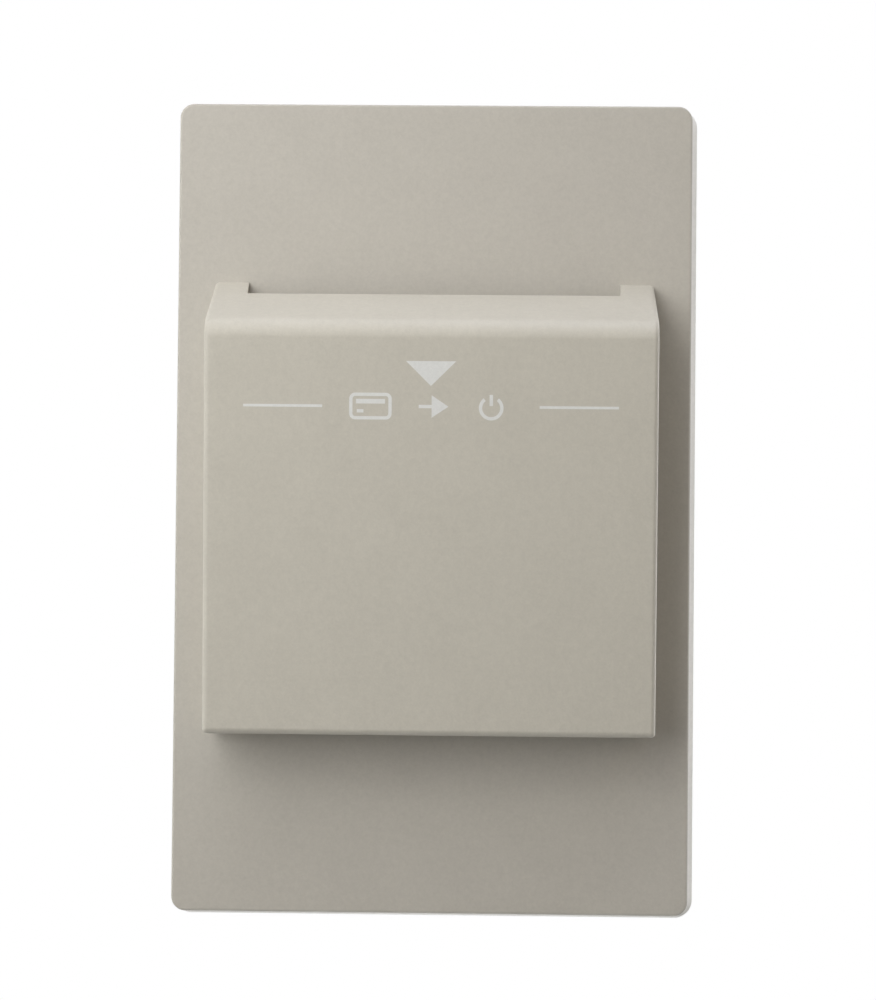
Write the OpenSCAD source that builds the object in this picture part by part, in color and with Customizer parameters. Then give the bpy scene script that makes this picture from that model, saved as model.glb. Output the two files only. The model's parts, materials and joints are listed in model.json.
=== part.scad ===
// Hotel key card switch: a wall plate with a card pocket, snapped over a wired switch body.
// Millimetres. X runs to the right, Y into the wall, Z up, and the wall face is y = 0.
// "Out" is the distance in front of the wall, so it is -Y, and "in" is the distance behind it.

/* [Face plate] */
// Width of the face plate
plate_w = 79.5; // [78:0.5:90]
// Height of the face plate
plate_h = 125; // [122:0.5:140]
// Distance from the wall to the front of the face plate
plate_front = 7.5; // [7:0.1:10]
// Thickness of the front wall
plate_wall = 2.2; // [1.8:0.1:2.6]
// Thickness of the skirt round the edge
skirt_wall = 2; // [1.7:0.1:2.4]
// Radius of the corners seen from the front
plate_corner_r = 2.2; // [1.4:0.1:4]
// Width of the slot in the bottom of the skirt that a tool pries the plate off with
pry_slot_w = 8; // [5:0.5:12]
// Depth of the pry slot
pry_slot_t = 1.2; // [0.8:0.1:1.6]
// Radius of the front edge
plate_edge_r = 0.4; // [0.2:0.1:1.2]

/* [Card pocket] */
// Width of the card pocket
pocket_w = 67.9; // [67:0.1:72]
// Height of the card pocket where it meets the plate
pocket_h = 69.2; // [66:0.1:80]
// Height of the pocket's middle above the plate's middle
pocket_lift = 0.1; // [-1:0.1:4]
// How far the brow, the edge of the sloped top, stands off the plate
pocket_depth = 17; // [14:0.5:20]
// How much less the front stands off at the foot
pocket_taper = 4; // [0.5:0.5:5]
// How far the sloped top falls from the plate to the brow
top_fall = 7.7; // [4:0.1:12]
// Thickness of the pocket's walls
pocket_wall = 2; // [1.6:0.1:2.4]
// Radius of the brow
brow_r = 3.5; // [1.8:0.1:4]
// Radius of the bottom front edge
foot_r = 1; // [0.4:0.1:1.7]
// Radius of the left and right edges of the front
side_r = 0.8; // [0.6:0.1:1.1]
// Radius of the left and right edges of the sloped top and the bottom
end_r = 0.5; // [0.3:0.1:1.1]
// Width of the card slot at the plate
slot_w = 57.5; // [56:0.1:58.5]
// How far each side of the slot draws in from the plate to the lip
slot_draft = 0.2; // [0:0.05:0.4]
// Depth of the card slot, from the plate to the pocket's lip
slot_gap = 4.8; // [4.2:0.1:5.5]
// Thickness of the ribs that guide the card
rib_t = 1.4; // [1:0.1:2]
// Distance between the two ribs
rib_pitch = 30; // [20:0.5:40]

/* [Back plate] */
// How far the rim stands out round the face plate
rim_show = 0.75; // [0.6:0.05:2]
// How far the rim sits to the right of the face plate's middle
rim_shift_x = 0.4; // [-0.5:0.05:0.5]
// How far the rim sits above the face plate's middle
rim_shift_z = -0.25; // [-0.5:0.05:0.5]
// Thickness of the rim
rim_t = 1.6; // [1.4:0.1:2]
// Radius of the rim's corners
rim_corner_r = 2.8; // [1.5:0.1:5]
// Width of the bevel round the front of the rim
rim_bevel_w = 0.9; // [0.4:0.1:1.3]
// Depth of the bevel
rim_bevel_d = 1.1; // [0.4:0.1:1.3]
// Thickness of the web that spans the rim
web_t = 1.7; // [1.4:0.1:2]
// Thickness of the raised wall inside the skirt
wall_t = 1.6; // [1.2:0.1:2.4]
// Shadow gap between the skirt and the rim
shadow_gap = 0.25; // [0.1:0.05:0.5]
// Width of the flat band round the back that lies on the wall
rim_band = 6; // [4:0.5:8]
// Room round the strap in the back
strap_room = 1.5; // [1:0.1:3]
// Thickness of the ribs on the back
back_rib_t = 1.2; // [0.8:0.1:1.6]
// Height of the ribs on the back
back_rib_h = 0.9; // [0.5:0.1:1.1]
// Distance between the ribs on the back
back_rib_pitch = 11.5; // [8:0.5:12]

/* [Strap] */
// Distance between the two wall box screws
box_pitch = 83.34; // [80:0.01:86]
// Diameter of the wall box screw holes
box_hole_d = 4.2; // [3.8:0.1:4.6]
// Distance between the two back plate screws
plate_pitch = 96.84; // [95:0.01:99]
// Diameter of the tapped holes for the back plate screws
plate_thread_d = 3.5; // [3:0.1:3.8]
// Thickness of the strap
strap_t = 1.2; // [1:0.1:1.5]
// Height of the strap
strap_h = 106.4; // [104:0.1:110]
// Width of the strap beside the tower
strap_w = 44; // [43:0.5:48]
// Width of the strap's two ends
strap_end_w = 33; // [26:0.5:40]
// Radius of the strap's end corners
strap_corner_r = 4; // [1:0.5:6]
// Width of the strap above and below the tower
strap_band = 4; // [3:0.5:5]

/* [Housing] */
// Width of the tower in front of the strap
tower_w = 33; // [32:0.5:34]
// Height of the tower
tower_h = 66; // [65:0.5:70]
// Thickness of the tower's walls
tower_wall = 1.8; // [1.4:0.1:2]
// Width of the body behind the wall face
body_w = 44; // [43:0.5:48]
// Height of the body
body_h = 67; // [66:0.5:75]
// Depth of the body behind the wall face
body_depth = 36; // [36:0.5:42]
// Thickness of the body's walls
body_wall = 1.9; // [1.6:0.1:2.2]
// Thickness of the flange that the strap lies on
flange_t = 2; // [1.6:0.1:3]
// Distance between the housing screws across the body
clamp_pitch_x = 38; // [37.5:0.1:38.4]
// Distance between the housing screws along the body
clamp_pitch_z = 60; // [58:0.5:60.5]
// Diameter of the housing screws
clamp_d = 2.5; // [2:0.1:2.8]

/* [Lever] */
// Height of the lever's pin above the middle
pivot_z = 2; // [1:0.1:3]
// Distance of the pin behind the tower's front wall
pivot_back = 4; // [3.6:0.1:4.6]
// Diameter of the lever's pin
pin_d = 2; // [1.6:0.1:2.1]
// Radius of the lever's hub
hub_r = 3; // [2.6:0.1:3.2]
// Width of the lever's arm
lever_w = 8; // [6:0.5:8]
// Thickness of the lever's arm
arm_t = 3.2; // [2.6:0.1:3.2]
// Width of the nose that the card pushes
nose_w = 12; // [11.8:0.1:14]
// How far the nose stands in front of the face plate
nose_reach = 6.5; // [5:0.1:7]
// Distance from the pin down to the tip of the nose
nose_drop = 25; // [23:0.1:25.5]
// Height of the slope that the card slides down
ramp_h = 12; // [11:0.1:13]
// Height of the nose below its tip
chin_h = 3.5; // [2.5:0.1:4]
// How far the presser, which works the plunger, stands behind the pin
presser_reach = 3.4; // [3.2:0.1:3.8]
// Radius of the presser's end
presser_r = 1.2; // [0.8:0.1:1.4]

/* [Spring] */
// Diameter of the spring wire
wire_d = 0.5; // [0.4:0.05:0.55]
// Full turns of the spring
spring_turns = 4; // [2:1:4]
// Distance from turn to turn
spring_pitch = 0.95; // [0.9:0.05:1]

/* [Snap switch] */
// Length of the switch case
case_h = 19.8; // [18:0.1:21]
// Width of the switch case
case_w = 6.4; // [5:0.1:7]
// Depth of the switch case
case_d = 9.7; // [9:0.1:11]
// Diameter of the plunger
plunger_d = 2.2; // [1.6:0.1:2.6]
// How far the plunger stands out of its case
plunger_show = 1.4; // [1.3:0.1:1.8]
// Distance from the lever's pin down to the plunger
plunger_drop = 4.6; // [4.2:0.1:5]

/* [Circuit] */
// Width of the circuit board
board_w = 38; // [37.6:0.1:39]
// Height of the circuit board
board_h = 52; // [50:0.5:53]
// Thickness of the circuit board
board_t = 1.6; // [1.2:0.1:2]
// Distance between the board screws along the board
board_pitch = 41; // [40:0.5:44]
// Width of the relay
relay_w = 19.2; // [16:0.1:20]
// Height of the relay
relay_h = 15.5; // [14:0.1:16]
// Room between the relay and the rear wall of the body
rear_room = 1.6; // [0.8:0.1:4]
// Width of the film capacitor
film_w = 8.5; // [6:0.1:9]
// Height of the film capacitor
film_h = 18; // [15:0.5:19]
// How much less deep than the relay the film capacitor is
film_step = 1.3; // [0:0.1:4]
// Diameter of the smoothing capacitor
smooth_d = 8; // [5:0.5:9]
// Length of the smoothing capacitor
smooth_l = 12; // [8:0.5:14]
// Diameter of the varistor
varistor_d = 10; // [7:0.5:11]
// Thickness of the varistor
varistor_t = 4; // [3:0.1:5]
// Width of the bridge rectifier
rectifier_w = 8.3; // [6:0.1:9]
// Height of the bridge rectifier
rectifier_h = 6.4; // [5:0.1:8]
// Depth of the bridge rectifier
rectifier_d = 3.2; // [2.5:0.1:4]
// Width of the control chip
chip_w = 8.6; // [5:0.1:10]
// Height of the control chip
chip_h = 4; // [4:0.1:6]
// Depth of the control chip
chip_d = 1.6; // [1:0.1:2]
// Diameter of the fusible resistor
resistor_d = 3.2; // [2:0.1:4]
// Length of the fusible resistor
resistor_l = 9; // [6:0.5:11]

/* [Terminals] */
// Height of a terminal well in the side of the body
well_h = 13; // [11.5:0.5:14]
// Depth of a terminal well
well_depth = 3.2; // [2.8:0.1:3.6]
// Distance of the wells above and below the middle
well_z = 10; // [9:0.1:11]
// Thickness of a terminal
terminal_t = 1; // [0.8:0.1:1.2]
// Diameter of a binding screw
binding_d = 3.8; // [3:0.1:4]
// Diameter of a binding screw's head
binding_head_d = 7.2; // [6.5:0.1:8]

/* [Fits] */
// Clearance round the lever's pin
pin_fit = 0.05; // [0.03:0.01:0.08]
// Clearance round screws in their holes
screw_fit = 0.05; // [0.03:0.01:0.1]
// Clearance between shells that slip into each other
shell_fit = 0.2; // [0.1:0.05:0.4]
// Clearance round the nose in its windows
nose_fit = 0.9; // [0.8:0.1:1.2]
// Gap between pieces that press on each other only when the lever moves
touch_gap = 0.1; // [0.05:0.01:0.15]

/* [Hidden] */
$fn = 48;

// Colours
greige = [0.70, 0.67, 0.63];
ivory = [0.86, 0.85, 0.81];
zinc = [0.75, 0.76, 0.78];
black = [0.10, 0.10, 0.11];
brass = [0.80, 0.66, 0.36];

// Solder pins of the snap switch, and room left between components
pin_pitch = 7;
pin_t = 0.8;
pin_w = 1.2;
pin_show = 1.6;
part_gap = 2.2;

// Levels, out from the wall
plate_inside = plate_front - plate_wall;
skirt_back = rim_t + shadow_gap;
web_back = strap_t + touch_gap;
web_front = web_back + web_t;
tower_front = plate_inside - 2.5 * shell_fit;
tower_inside = tower_front - tower_wall;
pivot_out = tower_inside - pivot_back;

// Levels, in behind the wall
presser_in = presser_reach - pivot_out;
plunger_tip_in = presser_in + touch_gap;
case_front_in = plunger_tip_in + plunger_show;
board_in = case_front_in + case_d;
board_back_in = board_in + board_t;

// Corners of the card pocket, as [out, height]
pocket_top = pocket_lift + pocket_h / 2;
pocket_bottom = pocket_lift - pocket_h / 2;
brow = [plate_front + pocket_depth, pocket_top - top_fall];
foot = [plate_front + pocket_depth - pocket_taper, pocket_bottom];

// Screws that hold the card pocket
pocket_screw_d = 2;
pocket_screw_l = 7;
pocket_head_r = 2.1;
pocket_head_l = 1.4;
pocket_boss_r = 2.3;
pocket_boss_x = pocket_w / 2 - pocket_boss_r - shell_fit;
pocket_boss_z = [pocket_lift + 0.32 * pocket_h, pocket_lift - 0.35 * pocket_h];

// Back plate inside the skirt
wall_w = plate_w - 2 * skirt_wall - 2 * shell_fit;
wall_h = plate_h - 2 * skirt_wall - 2 * shell_fit;
snap_l = 8;
snap_reach = 0.5;
snap_rise = 1;
snap_z = 38;
snap_out = (skirt_back + plate_inside) / 2;
plate_head_r = 2.6;
plate_head_l = 0.75 * web_t;
plate_screw_in = 7;

// Lever, as [out, height] from its pin
nose_tip = [plate_front + nose_reach - pivot_out, -nose_drop];
nose_back = arm_t / 2 + touch_gap;
ramp_top = [nose_back, ramp_h - nose_drop];
nose_heel = [nose_tip[0] - 3, -nose_drop - 1.5];
nose_sole = [nose_back, -nose_drop - chin_h];
window_low = pivot_z + nose_sole[1] - nose_fit;
foot_top = nose_sole[1] - nose_fit - 0.4;
foot_rise = 1.4;
ear_t = 2;
ear_gap = 19;

// Depth that the body leaves behind the board
relay_d = body_depth - body_wall - rear_room - board_back_in;
film_d = relay_d - film_step;

// Snap switch, as heights
plunger_z = pivot_z - plunger_drop;
case_z = plunger_z + 2.5;
case_top = case_z + case_h / 2;
case_hole_r = 1.15;
case_hole_pitch = 9.5;
case_hole_up = 3;
plunger_deep = 4;

// Screws that hold the board to its posts
board_post_r = 2.2;
board_post_x = body_w / 2 - body_wall - board_post_r - 1.5 * shell_fit;
board_screw_r = 1.1;
board_screw_l = 6;
board_head_r = 2;
board_head_l = 1.2;

// Screws that clamp the housing to the strap
clamp_boss_r = 2.8;
clamp_head_r = 2.1;
clamp_head_l = 1.9;
clamp_well = 2.4;

// Ground screw on the tab of the strap
ground_z = -tower_h / 2 - 1.4 * binding_head_d;
ground_in = 6;

// Terminals
well_in = [board_back_in + 1.8, body_depth - 2.1 * body_wall];
well_mid_in = (well_in[0] + well_in[1]) / 2;
well_floor_x = body_w / 2 - well_depth;
block_wall = 1.6;
tab_w = 4;

// Draws an outline of [across, height] between two distances out from the wall.
module slab(back, front) {
    translate([0, -back, 0]) rotate([90, 0, 0]) linear_extrude(front - back) children();
}

// Draws an outline of [out, height] between two distances to the right of the middle.
module side_slab(left, right) {
    translate([right, 0, 0]) rotate([90, 0, -90]) linear_extrude(right - left) children();
}

// A rod that runs into the wall.
module rod(x, z, from_in, to_in, r) {
    translate([x, from_in, z]) rotate([-90, 0, 0]) cylinder(r = r, h = to_in - from_in);
}

// A rectangle with round corners about the middle.
module round_rect(w, h, r) {
    square([w, h - 2 * r], center = true);
    square([w - 2 * r, h], center = true);
    for (sx = [-1, 1], sz = [-1, 1]) translate([sx * (w / 2 - r), sz * (h / 2 - r)]) circle(r);
}

function unit(v) = v / norm(v);

// A convex outline with a radius at each of its points.
module round_outline(points, radii) {
    n = len(points);
    corners = [for (i = [0:n - 1])
        let (p = points[i], a = unit(points[(i + n - 1) % n] - p), b = unit(points[(i + 1) % n] - p),
            half = acos(a * b) / 2, reach = radii[i] / tan(half))
        [p + a * reach, p + unit(a + b) * radii[i] / sin(half), p + b * reach]];
    polygon([for (i = [0:n - 1]) each radii[i] > 0 ? corners[i] : [points[i]]]);
    for (i = [0:n - 1]) if (radii[i] > 0) translate(corners[i][1]) intersection() {
        circle(radii[i]);
        polygon([[0, 0], for (p = [corners[i][0], points[i], corners[i][2]]) 2 * (p - corners[i][1])]);
    }
}

// Cross-section of an edge strip whose outer front corner is round.
module round_edge(reach, edge, back, front) {
    translate([0, back]) square([reach - edge, front - back]);
    translate([reach - edge, back]) square([edge, front - back - edge]);
    translate([reach - edge, front - edge]) intersection() {
        circle(edge);
        square(2 * edge);
    }
}

// A plate with round corners, whose edge strip has the cross-section that is given as [across, out].
module edged_plate(w, h, corner, back, front) {
    across = w / 2 - corner;
    up = h / 2 - corner;
    slab(back, front) square([2 * across, 2 * up], center = true);
    for (k = [0:3]) {
        run = k % 2 == 0 ? up : across;
        off = k % 2 == 0 ? across : up;
        rotate([0, -90 * k, 0]) translate([off, 0, 0]) {
            mirror([0, 1, 0]) translate([0, 0, -run]) linear_extrude(2 * run) children();
            translate([0, 0, run]) rotate([90, 0, 0]) rotate_extrude(angle = 90) children();
        }
    }
}

// A plate with round corners and a round front edge.
module soft_plate(w, h, corner, edge, back, front) {
    edged_plate(w, h, corner, back, front) round_edge(corner, edge, back, front);
}

// A screw driven into the wall, with a cross recess in its head.
module screw(x, z, head_in, head_r, head_l, shank_r, tip_in) {
    difference() {
        union() {
            rod(x, z, head_in, head_in + head_l, head_r);
            rod(x, z, head_in + head_l, tip_in, shank_r);
        }
        for (turn = [0, 90]) translate([x, head_in, z]) rotate([0, turn, 0])
            cube([1.3 * head_r, 1.2 * head_l, 0.3 * head_r], center = true);
    }
}

module face_plate() {
    color(greige) difference() {
        soft_plate(plate_w, plate_h, plate_corner_r, plate_edge_r, skirt_back, plate_front);
        slab(0, plate_inside)
            round_rect(plate_w - 2 * skirt_wall, plate_h - 2 * skirt_wall, plate_corner_r / 4);
        nose_window(plate_inside - 1, plate_front + 1);
        for (sx = [-1, 1], z = pocket_boss_z)
            rod(sx * pocket_boss_x, z, -plate_front - 1, -plate_inside + 1, pocket_screw_d / 2 + shell_fit);
        translate([0, -skirt_back, -plate_h / 2])
            cube([pry_slot_w, 2 * pry_slot_t, 2 * skirt_wall + 1], center = true);
        for (sx = [-1, 1], sz = [-1, 1])
            translate([sx * (plate_w / 2 - skirt_wall), -snap_out, sz * snap_z])
                cube([2 * snap_reach + 4 * shell_fit, snap_rise + shell_fit, snap_l + 2 * shell_fit],
                    center = true);
    }
}

// Opening that the nose of the lever swings through.
module nose_window(back, front) {
    near = max(back, tower_inside) - pivot_out;
    ramp = (nose_tip[1] - ramp_top[1]) / (nose_tip[0] - ramp_top[0]);
    high = pivot_z + ramp_top[1] + ramp * (near - ramp_top[0]) + nose_fit;
    slab(back, front) translate([-nose_w / 2 - nose_fit, window_low])
        square([nose_w + 2 * nose_fit, high - window_low]);
}

// Point where the line through p along u meets the line through q along v.
function meet(p, u, q, v) = p + u * cross(q - p, v) / cross(u, v);

// Point that lies a distance to the right of p for someone who walks along u.
function right_of(p, u, distance) = p + distance * [u[1], -u[0]];

// Side outline of the pocket, drawn in by one distance at its two ends and by another at its front.
function pocket_outline(ends, front) =
    let (back = [plate_front, 0], up = [0, 1], fall = unit(brow - [plate_front, pocket_top]),
        drop = unit(foot - brow), inward = [-1, 0], on_top = right_of(brow, fall, ends),
        on_front = right_of(brow, drop, front), on_bottom = right_of(foot, inward, ends))
    [meet(back, up, on_top, fall), meet(on_top, fall, on_front, drop),
        meet(on_front, drop, on_bottom, inward), meet(back, up, on_bottom, inward)];

// Outer form of the pocket, with one round edge along its top, brow, front, foot and bottom.
module pocket_form() {
    steps = 6;
    least_r = side_r / 10;
    hull() for (k = [0:steps]) {
        ends = end_r * (1 - cos(90 * k / steps));
        front = side_r * (1 - cos(90 * k / steps));
        half_w = pocket_w / 2 - side_r * (1 - sin(90 * k / steps));
        brow_left = max(brow_r - front, least_r);
        foot_left = max(foot_r - front, least_r);
        back = pocket_outline(ends, front);
        side_slab(-half_w, half_w) {
            translate(pocket_outline(ends + brow_left, front + brow_left)[1]) circle(brow_left);
            translate(pocket_outline(ends + foot_left, front + foot_left)[2]) circle(foot_left);
            polygon([back[0], back[3], back[3] + [foot_r, 0]]);
        }
    }
}

// Hollow of the card slot: it draws in towards the lip.
module card_slot() {
    lip = slot_w / 2 - slot_draft;
    translate([0, -plate_front, pocket_bottom + pocket_wall]) linear_extrude(pocket_h)
        polygon([[-slot_w / 2, 1], [-slot_w / 2, 0], [-lip, -slot_gap], [lip, -slot_gap], [slot_w / 2, 0],
            [slot_w / 2, 1]]);
}

// Part of the pocket's hollow outline between two distances in front of the plate.
module pocket_fill(back, front) {
    intersection() {
        polygon(pocket_outline(pocket_wall / 2, pocket_wall / 2));
        translate([plate_front + back, pocket_bottom]) square([front - back, pocket_h]);
    }
}

module card_pocket() {
    inner = pocket_outline(pocket_wall, pocket_wall);
    inner_w = pocket_w - 2 * pocket_wall;
    color(greige) difference() {
        union() {
            difference() {
                pocket_form();
                side_slab(-inner_w / 2, inner_w / 2)
                    polygon([inner[0] - [1, 0], inner[0], inner[1], inner[2], inner[3], inner[3] - [1, 0]]);
            }
            for (side = [0, 1]) mirror([side, 0, 0]) {
                side_slab((rib_pitch - rib_t) / 2, (rib_pitch + rib_t) / 2)
                    pocket_fill(slot_gap, pocket_depth);
                side_slab(slot_w / 2 - slot_draft, slot_w / 2 + rib_t) pocket_fill(0, pocket_depth);
                for (z = pocket_boss_z) intersection() {
                    rod(pocket_boss_x, z, -plate_front - pocket_depth, -plate_front, pocket_boss_r);
                    side_slab(0, pocket_w / 2) pocket_fill(0, pocket_depth);
                }
            }
        }
        card_slot();
        for (sx = [-1, 1], z = pocket_boss_z)
            rod(sx * pocket_boss_x, z, -plate_front - pocket_screw_l - 2 * shell_fit, -plate_front + 1,
                pocket_screw_d / 2 + screw_fit);
    }
}

module pocket_screws() {
    color(zinc) for (sx = [-1, 1], z = pocket_boss_z) mirror([0, 1, 0])
        screw(sx * pocket_boss_x, z, plate_inside - pocket_head_l, pocket_head_r, pocket_head_l,
            pocket_screw_d / 2, plate_front + pocket_screw_l);
}

module back_plate() {
    recess_w = plate_w - 2 * rim_band;
    recess_h = strap_h + 2 * strap_room;
    color(ivory) difference() {
        union() {
            translate([rim_shift_x, 0, rim_shift_z])
                edged_plate(plate_w + 2 * rim_show, plate_h + 2 * rim_show, rim_corner_r, 0, rim_t)
                    polygon([[0, 0], [rim_corner_r, 0], [rim_corner_r, rim_t - rim_bevel_d],
                        [rim_corner_r - rim_bevel_w, rim_t], [0, rim_t]]);
            slab(web_back, web_front) round_rect(wall_w, wall_h, plate_corner_r / 2);
            difference() {
                slab(web_back, plate_inside) round_rect(wall_w, wall_h, plate_corner_r / 2);
                slab(web_front - 1, plate_front)
                    square([wall_w - 2 * wall_t, wall_h - 2 * wall_t], center = true);
            }
            for (sx = [-1, 1], sz = [-1, 1]) translate([sx * wall_w / 2, -snap_out, sz * snap_z])
                rotate([0, 0, 45]) cube([snap_reach * sqrt(2), snap_reach * sqrt(2), snap_l], center = true);
        }
        slab(-1, web_back) square([recess_w, recess_h], center = true);
        slab(0, plate_front) {
            square([tower_w + 6 * shell_fit, tower_h + 6 * shell_fit], center = true);
            for (sz = [-1, 1]) translate([0, sz * box_pitch / 2]) circle(box_hole_d / 2 + 1.3);
            for (sz = [-1, 1]) translate([0, sz * (box_pitch / 2 + tower_h / 2) / 2])
                square([box_hole_d + 2.6, box_pitch / 2 - tower_h / 2], center = true);
            for (sz = [-1, 1]) translate([0, sz * plate_pitch / 2]) circle(plate_thread_d / 2 + shell_fit);
        }
        for (sz = [-1, 1]) translate([0, -web_front - screw_fit, sz * plate_pitch / 2]) rotate([-90, 0, 0])
            cylinder(r1 = plate_head_r + 2 * screw_fit, r2 = plate_thread_d / 2,
                h = plate_head_l + screw_fit);
        for (sx = [-1, 1], z = pocket_boss_z)
            rod(sx * pocket_boss_x, z, -plate_front, -web_front, pocket_head_r + shell_fit);
    }
    rib_from = strap_w / 2 + strap_room;
    color(ivory) for (sx = [-1, 1], k = [-4:4]) slab(web_back - back_rib_h, web_back + web_t / 4)
        translate([sx * (rib_from + recess_w / 2 + 1) / 2, k * back_rib_pitch])
            square([recess_w / 2 + 1 - rib_from, back_rib_t], center = true);
}

module back_plate_screws() {
    shank_r = plate_thread_d / 2 - screw_fit;
    color(ivory) for (sz = [-1, 1]) difference() {
        translate([0, -web_front, sz * plate_pitch / 2]) rotate([-90, 0, 0]) {
            cylinder(r1 = plate_head_r, r2 = shank_r, h = plate_head_l);
            cylinder(r = shank_r, h = web_front + plate_screw_in);
        }
        translate([0, -web_front, sz * plate_pitch / 2])
            cube([2.4 * plate_head_r, 0.9 * plate_head_l, 0.3 * plate_head_r], center = true);
    }
}

module mounting_strap() {
    mid_h = tower_h + 2 * strap_band;
    tab = [strap_t, ground_in + binding_head_d / 2 + 1.4, binding_head_d + 1.8];
    color(zinc) difference() {
        union() {
            slab(0, strap_t) {
                round_rect(strap_w, mid_h, strap_corner_r / 2);
                round_rect(strap_end_w, strap_h, strap_corner_r);
            }
            translate([-strap_end_w / 2, -strap_t, ground_z - tab[2] / 2])
                cube([tab[0], tab[1] + strap_t, tab[2]]);
        }
        slab(-1, strap_t + 1) {
            square([tower_w + 2 * shell_fit, tower_h + 2 * shell_fit], center = true);
            for (sz = [-1, 1]) translate([0, sz * box_pitch / 2]) circle(box_hole_d / 2);
            for (sz = [-1, 1]) translate([0, sz * plate_pitch / 2]) circle(plate_thread_d / 2);
            for (sx = [-1, 1], sz = [-1, 1]) translate([sx * clamp_pitch_x / 2, sz * clamp_pitch_z / 2])
                circle(clamp_d / 2 + screw_fit);
            for (sx = [-1, 1], sz = [-1, 1]) translate([sx * strap_end_w / 3.4, sz * plate_pitch / 2])
                round_rect(strap_t, 4 * strap_t, strap_t / 2.2);
        }
        translate([-strap_end_w / 2 - 1, ground_in, ground_z]) rotate([0, 90, 0])
            cylinder(r = binding_d / 2 + screw_fit, h = strap_t + 2);
    }
}

module housing_front() {
    inner_w = tower_w - 2 * tower_wall;
    inner_h = tower_h - 2 * tower_wall;
    lip_x = body_w / 2 - body_wall - shell_fit;
    lip_t = 1.4;
    lip_l = 5;
    color(black) difference() {
        union() {
            difference() {
                union() {
                    soft_plate(tower_w, tower_h, 2, 0.6, -flange_t, tower_front);
                    slab(-flange_t, 0) round_rect(body_w, body_h, 3);
                }
                slab(-flange_t - 1, tower_inside) round_rect(inner_w, inner_h, 1);
            }
            for (sx = [-1, 1]) translate([sx * (ear_gap + ear_t) / 2, 0, pivot_z]) ear();
            spring_stop();
            for (sx = [-1, 1], sz = [-1, 1])
                rod(sx * board_post_x, sz * board_pitch / 2, flange_t / 2, board_in, board_post_r);
            for (sx = [-1, 1]) translate([sx * (lip_x - lip_t / 2), flange_t + 0.3 * lip_l, 0])
                cube([lip_t, lip_l, board_pitch], center = true);
        }
        nose_window(tower_inside - 1, tower_front + 1);
        for (sx = [-1, 1], sz = [-1, 1])
            rod(sx * clamp_pitch_x / 2, sz * clamp_pitch_z / 2, -1, flange_t + 1, clamp_d / 2 + screw_fit);
        for (sx = [-1, 1], sz = [-1, 1])
            rod(sx * board_post_x, sz * board_pitch / 2, board_in - board_screw_l - 5 * shell_fit,
                board_in + 1, board_screw_r + screw_fit);
        translate([-ear_gap, -pivot_out, pivot_z]) rotate([0, 90, 0])
            cylinder(r = pin_d / 2 + screw_fit / 2, h = 2 * ear_gap);
    }
}

// One of the two ears that carry the lever's pin.
module ear() {
    side_slab(-ear_t / 2, ear_t / 2) {
        translate([pivot_out, 0]) circle(hub_r);
        translate([pivot_out, -hub_r]) square([pivot_back + tower_wall / 2, 2 * hub_r]);
    }
}

// Stop on the right ear that the rear leg of the spring pushes up against.
module spring_stop() {
    low = pivot_z + spring_r() + wire_d / 2 + touch_gap;
    side_slab(ear_gap / 2 - 1.6, ear_gap / 2 + ear_t / 2)
        translate([pivot_out - hub_r + 0.5, low]) square([2, pivot_z + hub_r - low]);
}

module housing_rear() {
    color(black) difference() {
        union() {
            difference() {
                mirror([0, 1, 0]) soft_plate(body_w, body_h, 3, 1.2, flange_t, body_depth);
                slab(-body_depth + body_wall, 0)
                    round_rect(body_w - 2 * body_wall, body_h - 2 * body_wall, 1.5);
            }
            for (sx = [-1, 1], sz = [-1, 1])
                rod(sx * clamp_pitch_x / 2, sz * clamp_pitch_z / 2, flange_t, body_depth - 1.5, clamp_boss_r);
            for (place = [[1, 1], [1, -1], [-1, -1]]) at_terminal(place) terminal_block();
        }
        for (sx = [-1, 1], sz = [-1, 1]) {
            rod(sx * clamp_pitch_x / 2, sz * clamp_pitch_z / 2, 0, body_depth + 1, clamp_d / 2 + shell_fit);
            rod(sx * clamp_pitch_x / 2, sz * clamp_pitch_z / 2, body_depth - clamp_well, body_depth + 1,
                clamp_head_r + shell_fit);
        }
        for (place = [[1, 1], [1, -1], [-1, -1]]) at_terminal(place) terminal_well();
    }
}

// Puts a terminal that is drawn on the right at one of its places: side, then up or down.
module at_terminal(place) {
    mirror([place[0] < 0 ? 1 : 0, 0, 0]) translate([0, 0, place[1] * well_z]) children();
}

// Block of the body that a terminal is let into.
module terminal_block() {
    inner_x = well_floor_x - terminal_t - block_wall;
    translate([inner_x, board_back_in + 0.4, -well_h / 2 - block_wall])
        cube([body_w / 2 - body_wall / 2 - inner_x, body_depth - board_back_in - 1, well_h + 2 * block_wall]);
}

// Hollow of a terminal well, with the seats of the terminal, its tab and its screw.
module terminal_well() {
    translate([well_floor_x, well_in[0], -well_h / 2])
        cube([well_depth + 1, well_in[1] - well_in[0], well_h]);
    terminal_form(shell_fit / 2);
    translate([well_floor_x - terminal_t - block_wall - 1, well_mid_in, 0]) rotate([0, 90, 0])
        cylinder(r = binding_d / 2 + shell_fit, h = block_wall + 2);
}

// A terminal: the plate under the screw and the tab that meets the board.
module terminal_form(fit) {
    w = well_in[1] - well_in[0] - 1.6;
    h = well_h - 2.4;
    translate([well_floor_x - terminal_t - fit, well_mid_in - w / 2 - fit, -h / 2 - fit])
        cube([terminal_t + 2 * fit, w + 2 * fit, h + 2 * fit]);
    translate([well_floor_x - terminal_t - fit, board_back_in - fit, -tab_w / 2 - fit])
        cube([terminal_t + 2 * fit, well_mid_in - board_back_in, tab_w + 2 * fit]);
}

module terminal(place, finish) {
    color(finish) at_terminal(place) difference() {
        terminal_form(0);
        translate([well_floor_x - 2, well_mid_in, 0]) rotate([0, 90, 0])
            cylinder(r = binding_d / 2 + screw_fit, h = 4);
    }
}

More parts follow.
